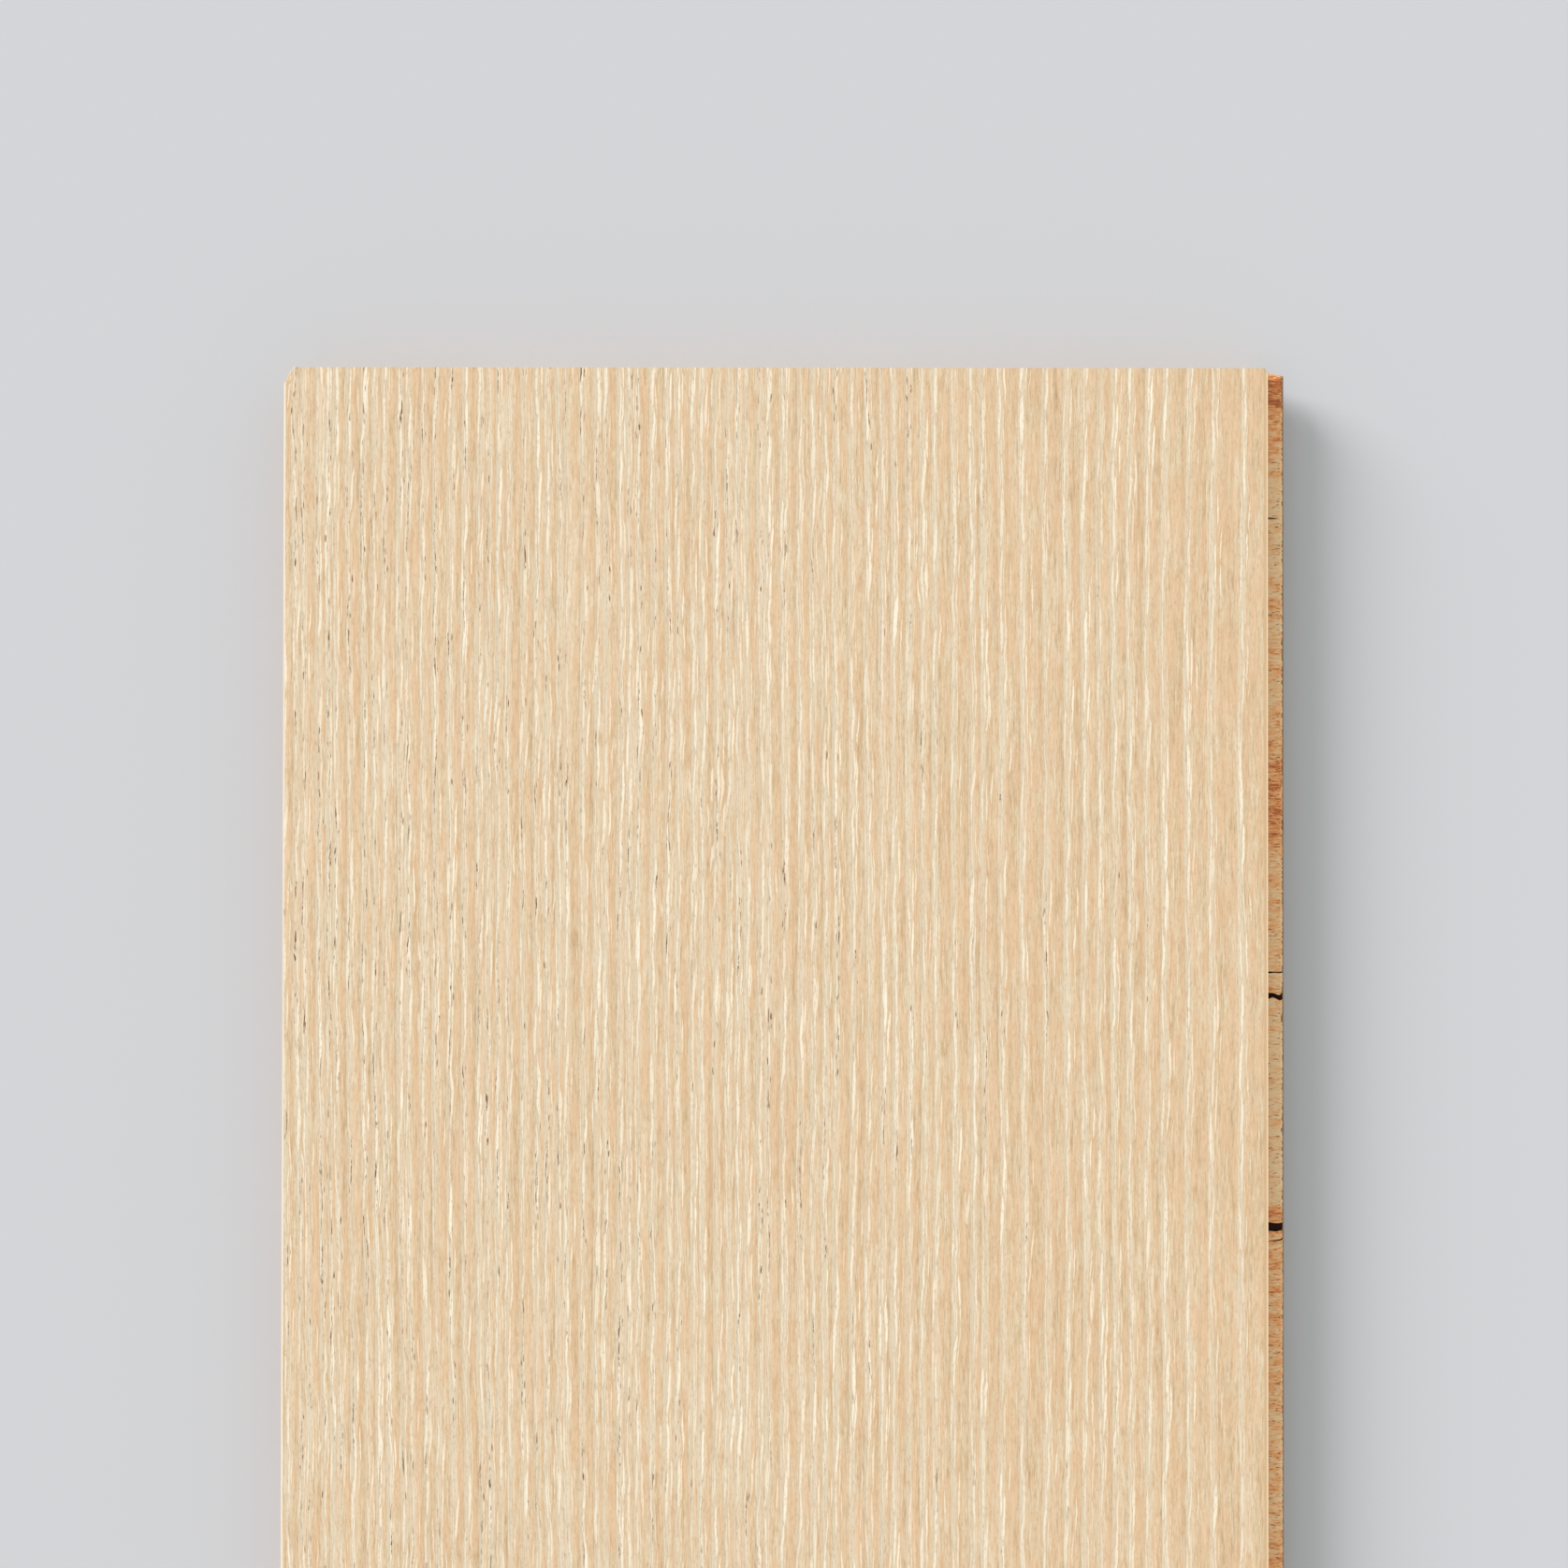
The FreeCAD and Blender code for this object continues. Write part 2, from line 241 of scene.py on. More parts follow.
def oak_columns():
    """Where the oak layer's columns lie across the board: the bevels, and five to a growth ring."""
    inner = [
        start + share * width
        for start, width in zip(RING_STARTS, np.diff(RING_STARTS))
        for share in COLUMN_SHARES
    ]
    low = GROOVE_EDGE + BEVEL + COLUMN_MARGIN
    high = FACE_EDGE - BEVEL - COLUMN_MARGIN
    inner = [x for x in inner if low < x < high]
    return np.array([
        GROOVE_EDGE, GROOVE_EDGE + ARRIS_IN, GROOVE_EDGE + BEVEL, *inner,
        FACE_EDGE - BEVEL, FACE_EDGE - ARRIS_IN, FACE_EDGE,
    ])


def oak_rows():
    """Where the oak layer's rows lie along the board, from the foot to the head."""
    even = np.linspace(-HALF_LENGTH, HALF_LENGTH - EVEN_FROM_HEAD, EVEN_ROWS)
    head = HALF_LENGTH - np.array(HEAD_ROWS)
    return np.concatenate([even, head[::-1]])


def bend_columns(x, y):
    """The columns follow the rings, except near the long edges, which stay straight."""
    from_edge = np.minimum(x - GROOVE_EDGE - BEVEL, FACE_EDGE - BEVEL - x)
    free = np.clip(from_edge / BENDS_WITHIN, 0, 1)
    return x + wander(x, y) * (free * free * (3 - 2 * free))


def lose_corners(x, y):
    """The columns draw in where a head corner is knocked off and the other one nicked."""
    knocked = corner_line(KNOCK, HALF_LENGTH - y)
    nicked = corner_line(NICK, HALF_LENGTH - y)
    near_knock = np.clip(1 - (x - GROOVE_EDGE) / KNOCK_WITHIN, 0, 1)
    near_nick = np.clip(1 - (FACE_EDGE - x) / NICK_WITHIN, 0, 1)
    return x + knocked * near_knock - nicked * near_nick


def brushed_height(x, y):
    """The height of the face, with the brush's furrows and the rounded bevels."""
    ring, width = ring_at(x, y, 0.0)
    past_start = (ring - np.floor(ring)) * width
    furrow = FURROW_DEPTH * np.exp(-(((past_start - FURROW_PLACE) / FURROW_SPREAD) ** 2))
    # Along the board each furrow's depth swings between half and all of that.
    furrow = furrow * (0.75 + 0.25 * np.sin(y / 9.0 + 2.1 * np.floor(ring)))
    z = FACE_LEVEL - furrow
    # Brushing has rounded the bevel: it falls gently at first and then steeply.
    z[:, [1, -2]] = FACE_LEVEL - ARRIS_DROP
    z[:, [0, -1]] = FACE_LEVEL - BEVEL
    return z


def thicken_oak(bm):
    """Extrudes the brushed face down to the glue line, where one flat face closes the layer."""
    lower = bmesh.ops.extrude_face_region(bm, geom=bm.faces[:])["geom"]
    for item in lower:
        if isinstance(item, bmesh.types.BMVert):
            item.co.z = GLUE_LEVEL * MM
    flat = [item for item in lower if isinstance(item, bmesh.types.BMFace)]
    bmesh.ops.dissolve_faces(bm, faces=flat, use_verts=False)


def mark_rings(bm, x, y):
    """Gives each vertex the growth ring that it lies in, and that ring's width."""
    rank = bm.verts.layers.int["rank"]
    ring_layer = bm.verts.layers.float["growth_ring"]
    width_layer = bm.verts.layers.float["ring_width_mm"]
    for vertex in bm.verts:
        number = vertex[rank]
        depth = FACE_LEVEL - vertex.co.z / MM
        ring, width = ring_at(x.flat[number], y.flat[number], depth)
        vertex[ring_layer] = float(ring)
        vertex[width_layer] = float(width)


def part_face_from_sides(bm, columns):
    """The top is limed and smooth, what is steep is sawn, and the bevels start in a crisp line."""
    rank = bm.verts.layers.int["rank"]
    bm.normal_update()
    for face in bm.faces:
        face.material_index = 0 if abs(face.normal.z) > LIMED_FROM else 1
        face.smooth = abs(face.normal.z) > SMOOTH_FROM
    bevel_lines = {2, columns - 3}
    for edge in bm.edges:
        lines = {vertex[rank] % columns for vertex in edge.verts}
        edge.smooth = len(lines) > 1 or not lines <= bevel_lines


def make_wear_layer(materials):
    """The oak layer, with columns that follow the growth rings and sink along the soft early wood."""
    across = oak_columns()
    along = oak_rows()
    x = np.tile(across, (len(along), 1))
    y = np.tile(along[:, None], (1, len(across)))
    x = lose_corners(bend_columns(x, y), y)
    bm = bmesh.new()
    bm.verts.layers.int.new("rank")
    bm.verts.layers.float.new("growth_ring")
    bm.verts.layers.float.new("ring_width_mm")
    rank = bm.verts.layers.int["rank"]
    for number, vertex in lay_sheet(bm, x, y, brushed_height(x, y)):
        vertex[rank] = number
    thicken_oak(bm)
    mark_rings(bm, x, y)
    part_face_from_sides(bm, len(across))
    finish_piece(bm, "limed_oak_layer", materials, "oak_wear_layer")


# The cross veneer under the oak, in millimetres

# Splits across the tongue. Each has its place from the head, its width, and, at even steps from the
# shoulder to the tip, how far its line strays and how open it is.
SPLITS = (
    {"from_head": 33.0, "width": 0.35, "line": (0, 0, 0.05, 0, 0), "open": (1, 1, 0.9, 0, 0)},
    {
        "from_head": 135.2, "width": 0.34,
        "line": (0, 0.03, 0, 0.03, 0), "open": (1.3, 1.3, 0.8, 0.9, 1.2),
    },
    {
        "from_head": 140.45, "width": 1.1,
        "line": (0, 0, 0.03, -0.12, 0.0, 0.26, 0.48, 0.36, -0.3),
        "open": (1.2, 1.2, 1.2, 0.9, 0.9, 1.0, 1.06, 1.3, 2.0),
    },
    {
        "from_head": 192.4, "width": 2.0,
        "line": (-0.1, -0.05, 0.1, 0.02, 0), "open": (1.06, 1.0, 0.98, 0.9, 0.82),
    },
    {
        "from_head": 195.45, "width": 0.3,
        "line": (0.1, 0.1, 0.05, -0.1, -0.4), "open": (0, 0.4, 1, 1, 0.9),
    },
)

# Each lip of a split is two rows, this far to either side of its edge. Beside the lips the split's
# bends fade over this length, and between them its floor lies this far above the veneer's back.
LIP = 0.01
SPLIT_FADE = 1.38
SPLIT_FLOOR = 0.02

# Where it is less open than this a split is shut. Its floor takes more than full painted shade, so that
# the painted shade reaches up its walls: it stands for the shadow of a deep gap, which the shallow floor
# doesn't cast.
SHUT_UNDER = 0.2
SPLIT_PAINTED_SHADE = 3.0

# Chips gone from the tongue's tip: the place from the head, about half the length, and the depth.
CHIPS = ((145.8, 0.6, 0.4), (61.0, 0.8, 0.25), (170.7, 0.5, 0.35))

# Torn fibres: how far down they are torn, how far back the tip lies at least, and how much more.
TEAR_DEPTH = 0.10
TIP_BACK = 0.24
TIP_BACK_MORE = 0.32

# The veneer changes tone along the board: millimetres from the head, and a tone from brick red (0)
# to pale tan (1).
TONES = (
    (0, 0.4), (2, 0.13), (8, 0.16), (11, 0.49), (21, 0.59), (26, 0.88), (42, 0.87), (50, 0.7),
    (78, 0.7), (90, 0.33), (104, 0.38), (110, 0.69), (150, 0.85), (187, 0.83), (189, 0.35),
    (194, 0.48), (205, 0.6), (260, 0.74),
)

# Rows of fibres: one fibre apart in the first stretch from the head, and coarser beyond.
FINE_STRETCH = 300.0
FINE_STEP = 0.42
COARSE_STEP = 1.9

# Points across the tongue's top, from the shoulder to the chamfer, and how close points become one.
TOP_POINTS = 14
WELD = 0.002


def veneer_section():
    """The section as a loop, from the shoulder over the tongue, round underneath and back."""
    bottom = GLUE_LEVEL - PLY
    groove_end = GROOVE_EDGE + GROOVE_DEPTH
    chamfer = TONGUE_TIP - TONGUE_CHAMFER
    return np.array([
        *[(x, TONGUE_TOP) for x in np.linspace(FACE_EDGE, chamfer, TOP_POINTS)],
        (TONGUE_TIP, TONGUE_TOP - TONGUE_CHAMFER), (TONGUE_TIP, bottom),
        (groove_end, bottom), (groove_end, GROOVE_TOP), (GROOVE_EDGE, GROOVE_TOP),
        (GROOVE_EDGE, GLUE_LEVEL), (FACE_EDGE, GLUE_LEVEL), (FACE_EDGE, TONGUE_TOP),
    ])


def veneer_rows():
    """Where the rows of fibres lie along the board, with every end, split and lost corner among them."""
    # The first two steps would lie where the tongue is nipped off.
    head = HALF_LENGTH - np.arange(0.0, FINE_STRETCH, FINE_STEP)[2:]
    far = np.arange(-HALF_LENGTH + TONGUE_NIP, HALF_LENGTH - FINE_STRETCH, COARSE_STEP)
    ends = [-HALF_LENGTH, -HALF_LENGTH + TONGUE_NIP, HALF_LENGTH - TONGUE_NIP, HALF_LENGTH]
    knocked = [HALF_LENGTH - along for across, along in KNOCK if along > 0]
    lips = [
        HALF_LENGTH - split["from_head"] + side * (split["width"] / 2 + nudge)
        for split in SPLITS
        for side in (-1, 1)
        for nudge in (-LIP, LIP)
    ]
    return np.array(sorted({*head, *far, *ends, *knocked, *lips}))


def tear_fibres(x, z, from_head, on_top, on_tip):
    """Tears fibres out across the tongue: its top is uneven from row to row, and its tip ragged."""
    random = np.random.default_rng(SEED + 1)
    rough = random.uniform(0, 1, from_head.shape) ** 2 * TEAR_DEPTH
    z = z - np.where(on_top, rough * random.uniform(0.6, 1.0, x.shape), 0)
    ragged = TIP_BACK + random.uniform(0, 1, from_head.shape) ** 3 * TIP_BACK_MORE
    for chip, half_length, depth in CHIPS:
        ragged = ragged + depth * np.exp(-(((from_head - chip) / half_length) ** 2))
    return x - np.where(on_tip, ragged, 0), z


def cut_splits(x, y, z, from_head, on_tongue):
    """Opens the splits: their lips bend, and the floor between the lips is sunk and painted dark with
    the shade of a deep gap.
    """
    floor = GLUE_LEVEL - PLY + SPLIT_FLOOR
    dark = np.zeros(x.shape)
    share = np.clip((x - FACE_EDGE) / (TONGUE_TIP - FACE_EDGE), 0, 1)
    for split in SPLITS:
        half = split["width"] / 2
        steps = np.linspace(0, 1, len(split["line"]))
        past_split = split["from_head"] - from_head
        openness = np.interp(share, steps, split["open"])
        near = np.clip((half + SPLIT_FADE + 2 * LIP - np.abs(past_split)) / SPLIT_FADE, 0, 1)
        shift = np.sign(past_split) * (openness - 1) * half - np.interp(share, steps, split["line"])
        y = y + np.where(on_tongue, near * shift, 0)
        sunk = (np.abs(past_split) < half) & on_tongue & (openness > SHUT_UNDER)
        z = np.where(sunk, np.minimum(z, floor), z)
        # Painted shade on the sunk floor, standing for a deep gap's shadow.
        dark = np.where(sunk, SPLIT_PAINTED_SHADE, dark)
    return y, z, dark


def veneer_tones(from_head):
    """The tone along the board: distinct patches near the head, and a slow drift beyond."""
    places, tones = zip(*TONES)
    near = np.interp(from_head, places, tones)
    along = HALF_LENGTH - from_head
    far = 0.6 + 0.2 * np.sin(along / 37 + 1) * np.sin(along / 91) + 0.08 * np.sin(along / 11)
    return np.where(from_head > places[-1], far, near)


def make_top_ply(materials):
    """The cross veneer under the oak. Its edge is the top of the tongue, with torn fibres and splits."""
    section = veneer_section()
    along = veneer_rows()
    x = np.tile(section[:, 0], (len(along), 1))
    z = np.tile(section[:, 1], (len(along), 1))
    y = np.tile(along[:, None], (1, len(section)))
    from_head = HALF_LENGTH - along[:, None]
    place = np.arange(len(section))
    on_top = (place > 0) & (place < TOP_POINTS)
    on_tip = (place >= TOP_POINTS - 1) & (place < TOP_POINTS + 2)
    on_tongue = on_top | on_tip
    x, z = tear_fibres(x, z, from_head, on_top, on_tip)
    y, z, dark = cut_splits(x, y, z, from_head, on_tongue)
    # The tongue is nipped off short of both ends, and the knocked corner cuts the veneer too.
    beyond = np.abs(along[:, None]) > HALF_LENGTH - TONGUE_NIP + WELD
    x = np.where(beyond & on_tongue, FACE_EDGE, x)
    x = np.maximum(x, GROOVE_EDGE + corner_line(KNOCK, from_head))
    tone = np.broadcast_to(veneer_tones(from_head), x.shape)
    bm = bmesh.new()
    tone_layer = bm.verts.layers.float.new("veneer_tone")
    split_shade_layer = bm.verts.layers.float.new("split_painted_shade")
    for number, vertex in lay_sheet(bm, x, y, z):
        vertex[tone_layer] = float(tone.flat[number])
        vertex[split_shade_layer] = float(dark.flat[number])
    bmesh.ops.remove_doubles(bm, verts=bm.verts[:], dist=WELD * MM)
    bmesh.ops.holes_fill(bm, edges=[edge for edge in bm.edges if edge.is_boundary], sides=0)
    # Only the tongue is torn. The ends and the groove are cut clean.
    bm.normal_update()
    for face in bm.faces:
        torn = face.calc_center_median().x > FACE_EDGE * MM and abs(face.normal.y) < 0.99
        face.material_index = 0 if torn else 1
    finish_piece(bm, "torn_cross_veneer", materials, "core_ply_1_cross")


# The limed oak

# Rows of pores in each growth ring. Every stroke is one pore line that the brush opened and the
# lime filled. Lengths are millimetres: the stroke, half its width, where it lies past the ring's
# start, how far it strays from there, and how far it slants. The share is how many are there.
PORE_ROWS = (
    {"length": 12.0, "width": 0.30, "place": 0.6, "stray": 0.45, "slant": 0.3, "share": 0.97},
    {"length": 11.0, "width": 0.23, "place": 1.1, "stray": 0.75, "slant": 0.3, "share": 0.85},
    {"length": 8.0, "width": 0.17, "place": 1.7, "stray": 1.1, "slant": 0.25, "share": 0.75},
)
# Pores that the lime missed show as thin dark dashes and specks among the strokes.
OPEN_PORES = (
    {"length": 6.0, "width": 0.12, "place": 0.8, "stray": 0.35, "slant": 0.08, "share": 0.5},
    {"length": 2.0, "width": 0.12, "place": 0.9, "stray": 0.6, "slant": 0.03, "share": 0.3},
)
# A pore's edge fades over these millimetres: lime, soaked oil, and a pore that stayed open.
LIME_FADE = 0.18
OIL_FADE = 0.35
OPEN_FADE = 0.12

# How many millimetres fibres push a stroke's edge about, and how many the whole stroke wavers, from
# the least noise to the most.
FIBRE_PUSH = 0.5
WAVER = 1.4

# How far past a bevel's start its lime is full. The painted shade line beside the tongue side's bevel,
# on the side away from the light, has this width and fades in over this much of it.
BEVEL_FADE = 0.1
SHADE_LINE_WIDTH = 0.7
SHADE_LINE_FADE = 0.3

# The limed oak's colours.
BARE_WOOD = ((0.37, "#C3A078"), (0.45, "#D6BC96"), (0.53, "#E2CCAA"), (0.62, "#EEDCC0"))
PINK_STRAW = "#E8C199"
LIME = "#FDF3DC"
LIME_HAZE = "#E7DDC6"
OILED_WOOD = "#D2A978"
LATE_PORES = "#C8A176"
MISSED_PORES = "#6E441C"
# The bevels' colours are lime with a painted highlight. The tongue side's is painted brightest, against
# the shade it lies in.
GROOVE_SIDE_BEVEL = "#F0E5D2"
TONGUE_SIDE_BEVEL = "#FDE6C6"
# Painted shade for the line beside the tongue side's bevel.
PAINTED_SHADE_LINE = "#D6B386"


def find_stroke(tree, number, along_mm, length, seed):
    """How far along its stroke a place lies, from 0 to 1, and three chances of that stroke's own.

    Each ring's strokes start at a place of their own, so they don't line up across the board.
    """
    start = add(tree, "ShaderNodeTexWhiteNoise", {"W": number}, noise_dimensions="1D")
    shift = add(
        tree, "ShaderNodeMath", {0: start.outputs["Value"], 1: 40.0 + seed}, operation="MULTIPLY"
    )
    run = add(
        tree, "ShaderNodeMath", {0: along_mm, 1: 1 / length, 2: shift}, operation="MULTIPLY_ADD"
    )
    count = add(tree, "ShaderNodeMath", {0: run}, operation="FLOOR")
    share = add(tree, "ShaderNodeMath", {0: run}, operation="FRACT")
    which = add(tree, "ShaderNodeCombineXYZ", {"X": number, "Y": count, "Z": float(seed)})
    chance = add(tree, "ShaderNodeTexWhiteNoise", {"Vector": which}, noise_dimensions="3D")
    chances = add(tree, "ShaderNodeSeparateColor", {0: chance.outputs["Color"]})
    return share, chances.outputs


def half_stroke(tree, share, size_chance, width):
    """Half the stroke's width here, widest in the middle: by chance 0.55 to 1.25 times the row's."""
    left = add(tree, "ShaderNodeMath", {0: 1.0, 1: share}, operation="SUBTRACT")
    bow = add(tree, "ShaderNodeMath", {0: share, 1: left}, operation="MULTIPLY")
    round_bow = add(tree, "ShaderNodeMath", {0: bow, 1: 0.5}, operation="POWER")
    size = add(
        tree, "ShaderNodeMath", {0: size_chance, 1: width * 1.4, 2: width * 1.1},
        operation="MULTIPLY_ADD",
    )
    return add(tree, "ShaderNodeMath", {0: round_bow, 1: size}, operation="MULTIPLY")


def off_stroke(tree, past_start, share, chances, row):
    """How far a place lies from the stroke's own line, which is off the ring's and slants across it."""
    offset = add(
        tree, "ShaderNodeMath",
        {0: chances["Red"], 1: 2 * row["stray"], 2: row["place"] - row["stray"]},
        operation="MULTIPLY_ADD",
    )
    lean = add(
        tree, "ShaderNodeMath", {0: chances["Green"], 1: 2 * row["slant"], 2: -row["slant"]},
        operation="MULTIPLY_ADD",
    )
    line = add(tree, "ShaderNodeMath", {0: share, 1: lean, 2: offset}, operation="MULTIPLY_ADD")
    away = add(tree, "ShaderNodeMath", {0: past_start, 1: line}, operation="SUBTRACT")
    return add(tree, "ShaderNodeMath", {0: away}, operation="ABSOLUTE")


def add_strokes(tree, number, past_start, along_mm, row, seed):
    """Tapered strokes end to end along each growth ring.

    Gives how many millimetres inside a stroke a place lies, less than 0 outside, and how much the
    stroke holds.
    """
    share, chances = find_stroke(tree, number, along_mm, row["length"], seed)
    half = half_stroke(tree, share, chances["Green"], row["width"])
    away = off_stroke(tree, past_start, share, chances, row)
    inside = add(tree, "ShaderNodeMath", {0: half, 1: away}, operation="SUBTRACT")
    # The thinnest strokes hold 0.6 of what the widest do, and some aren't there.
    amount = add(
        tree, "ShaderNodeMath", {0: chances["Green"], 1: 0.4, 2: 0.6}, operation="MULTIPLY_ADD"
    )
    present = add(tree, "ShaderNodeMath", {0: chances["Blue"], 1: row["share"]}, operation="LESS_THAN")
    amount = add(tree, "ShaderNodeMath", {0: amount, 1: present}, operation="MULTIPLY")
    return inside, amount


def add_edged(tree, so_far, stroke, fade, at_edge=0.2):
    """The most of what is there so far and of a stroke, whose edge fades over some millimetres.

    At the very edge there is already a share of it.
    """
    inside, amount = stroke
    edge = add(
        tree, "ShaderNodeMath", {0: inside, 1: 1 / fade, 2: at_edge}, operation="MULTIPLY_ADD",
        use_clamp=True,
    )
    layer = add(tree, "ShaderNodeMath", {0: edge, 1: amount}, operation="MULTIPLY")
    return add(tree, "ShaderNodeMath", {0: so_far, 1: layer}, operation="MAXIMUM")


def place_in_ring(tree, place):
    """The growth ring's number here, and the millimetres past its start, as the fibres push them."""
    ring = add(tree, "ShaderNodeAttribute", attribute_name="growth_ring").outputs["Fac"]
    width = add(tree, "ShaderNodeAttribute", attribute_name="ring_width_mm").outputs["Fac"]
    number = add(tree, "ShaderNodeMath", {0: ring}, operation="FLOOR")
    part = add(tree, "ShaderNodeMath", {0: ring}, operation="FRACT")
    past_start = add(tree, "ShaderNodeMath", {0: part, 1: width}, operation="MULTIPLY")
    # Fibres are 0.6 mm wide and 3 mm long.
    fibre = add(tree, "ShaderNodeMapping", {"Vector": place, "Scale": marks_of((0.6, 3.0, 2.0))})
    fibre = add(tree, "ShaderNodeTexNoise", {"Vector": fibre, "Scale": 1.0, "Detail": 2.0})
    past_start = add(
        tree, "ShaderNodeMath", {0: fibre, 1: FIBRE_PUSH, 2: past_start}, operation="MULTIPLY_ADD"
    )
    # Strokes waver over 12 mm of their length, mostly by about 0.3 mm.
    waver = add(tree, "ShaderNodeMapping", {"Vector": place, "Scale": marks_of((6.0, 12.0, 10.0))})
    waver = add(tree, "ShaderNodeTexNoise", {"Vector": waver, "Scale": 1.0, "Detail": 1.0})
    past_start = add(
        tree, "ShaderNodeMath", {0: waver, 1: WAVER, 2: past_start}, operation="MULTIPLY_ADD"
    )
    # Middling noise is a half, and that much comes off again.
    past_start = add(
        tree, "ShaderNodeMath", {0: past_start, 1: (FIBRE_PUSH + WAVER) / 2}, operation="SUBTRACT"
    )
    return number, past_start


def draw_pores(tree, number, past_start, along_mm):
    """How much of each place is a limed pore, the oiled wood beside one, and an open pore."""
    limed, soaked, missed = 0.0, 0.0, 0.0
    for seed, row in enumerate(PORE_ROWS):
        stroke = add_strokes(tree, number, past_start, along_mm, row, seed)
        limed = add_edged(tree, limed, stroke, LIME_FADE)
        soaked = add_edged(tree, soaked, stroke, OIL_FADE, at_edge=1.0)
    for seed, row in enumerate(OPEN_PORES, 7):
        stroke = add_strokes(tree, number, past_start, along_mm, row, seed)
        missed = add_edged(tree, missed, stroke, OPEN_FADE)
    return limed, soaked, missed


def spread_lime(tree, number, along_mm):
    """Each ring holds more lime in some lengths than in others, over about 45 mm."""
    place = add(tree, "ShaderNodeCombineXYZ", {"X": number, "Y": along_mm})
    place = add(tree, "ShaderNodeMapping", {"Vector": place, "Scale": (0.71, 1 / 45, 1.0)})
    spread = add(tree, "ShaderNodeTexNoise", {"Vector": place, "Scale": 1.0, "Detail": 1.0})
    return add(
        tree, "ShaderNodeMapRange",
        {"Value": spread, "From Min": 0.36, "From Max": 0.62, "To Min": 0.66, "To Max": 1.0},
    )


def colour_wood(tree, place, fine):
    """Wood without lime: brushed fibres and long streaks, drifting from straw to a faint pink."""
    streak = add(tree, "ShaderNodeMapping", {"Vector": place, "Scale": marks_of((1.3, 45.0, 4.0))})
    streak = add(tree, "ShaderNodeTexNoise", {"Vector": streak, "Scale": 1.0, "Detail": 2.0})
    grain = add(tree, "ShaderNodeMix", {0: 0.25, 2: fine, 3: streak})
    wood = add(tree, "ShaderNodeValToRGB", {0: grain}, stops=BARE_WOOD)
    drift = add(tree, "ShaderNodeMapping", {"Vector": place, "Scale": marks_of((1.2, 10.0, 10.0))})
    drift = add(tree, "ShaderNodeTexNoise", {"Vector": drift, "Scale": 1.0, "Detail": 2.0})
    drift = add(
        tree, "ShaderNodeMapRange",
        {"Value": drift, "From Min": 0.38, "From Max": 0.6, "To Max": 0.55},
    )
    drifted = add(
        tree, "ShaderNodeMix", {0: drift, 6: wood, 7: linear(PINK_STRAW)}, data_type="RGBA"
    )
    return drifted.outputs[2]


def colour_lime(tree, wood, past_start, lime, limed, soaked):
    """Lime on the wood: a haze on the early wood, a line in each pore, and oiled wood beside it."""
    # The haze ends 1.8 mm past the ring's start.
    near_pores = add(
        tree, "ShaderNodeMapRange",
        {"Value": past_start, "From Min": 0.9, "From Max": 1.8, "To Min": 0.74, "To Max": 0.0},
    )
    haze = add(tree, "ShaderNodeMath", {0: near_pores, 1: lime}, operation="MULTIPLY")
    hazed = add(tree, "ShaderNodeMix", {0: haze, 6: wood, 7: linear(LIME_HAZE)}, data_type="RGBA")
    soak = add(tree, "ShaderNodeMath", {0: soaked, 1: 0.36}, operation="MULTIPLY")
    oiled = add(
        tree, "ShaderNodeMix", {0: soak, 6: hazed.outputs[2], 7: linear(OILED_WOOD)},
        data_type="RGBA",
    )
    filled = add(tree, "ShaderNodeMath", {0: limed, 1: lime}, operation="MULTIPLY")
    white = add(
        tree, "ShaderNodeMix", {0: filled, 6: oiled.outputs[2], 7: linear(LIME)}, data_type="RGBA"
    )
    return white.outputs[2]


def gather_missed_pores(tree, place, across, missed, speck):
    """Keeps missed pores in clumps of 2 by 35 mm, most of them near the groove side, and dots them."""
    clump = add(tree, "ShaderNodeMapping", {"Vector": place, "Scale": marks_of((2.2, 35.0, 10.0))})
    clump = add(tree, "ShaderNodeTexNoise", {"Vector": clump, "Scale": 1.0, "Detail": 1.0})
    # Each 100 mm towards the groove side add 0.14.
    clump = add(tree, "ShaderNodeMath", {0: across, 1: -1.4, 2: clump}, operation="MULTIPLY_ADD")
    clumped = add(
        tree, "ShaderNodeMapRange", {"Value": clump, "From Min": 0.53, "From Max": 0.6, "To Max": 1.0}
    )
    dark = add(tree, "ShaderNodeMath", {0: missed, 1: clumped}, operation="MULTIPLY")
    # Flecks of lime break them into dots.
    dotted = add(
        tree, "ShaderNodeMapRange",
        {"Value": speck, "From Min": 0.4, "From Max": 0.54, "To Min": 0.2, "To Max": 1.0},
    )
    return add(tree, "ShaderNodeMath", {0: dark, 1: dotted}, operation="MULTIPLY")


def colour_open_pores(tree, white, speck, dark):
    """Pores without lime: late ones that speckle all the wood, and the missed ones, which are dark."""
    speckled = add(
        tree, "ShaderNodeMapRange", {"Value": speck, "From Min": 0.53, "From Max": 0.7, "To Max": 0.36}
    )
    late = add(
        tree, "ShaderNodeMix", {0: speckled, 6: white, 7: linear(LATE_PORES)}, data_type="RGBA"
    )
    pored = add(
        tree, "ShaderNodeMix", {0: dark, 6: late.outputs[2], 7: linear(MISSED_PORES)},
        data_type="RGBA",
    )
    return pored.outputs[2]


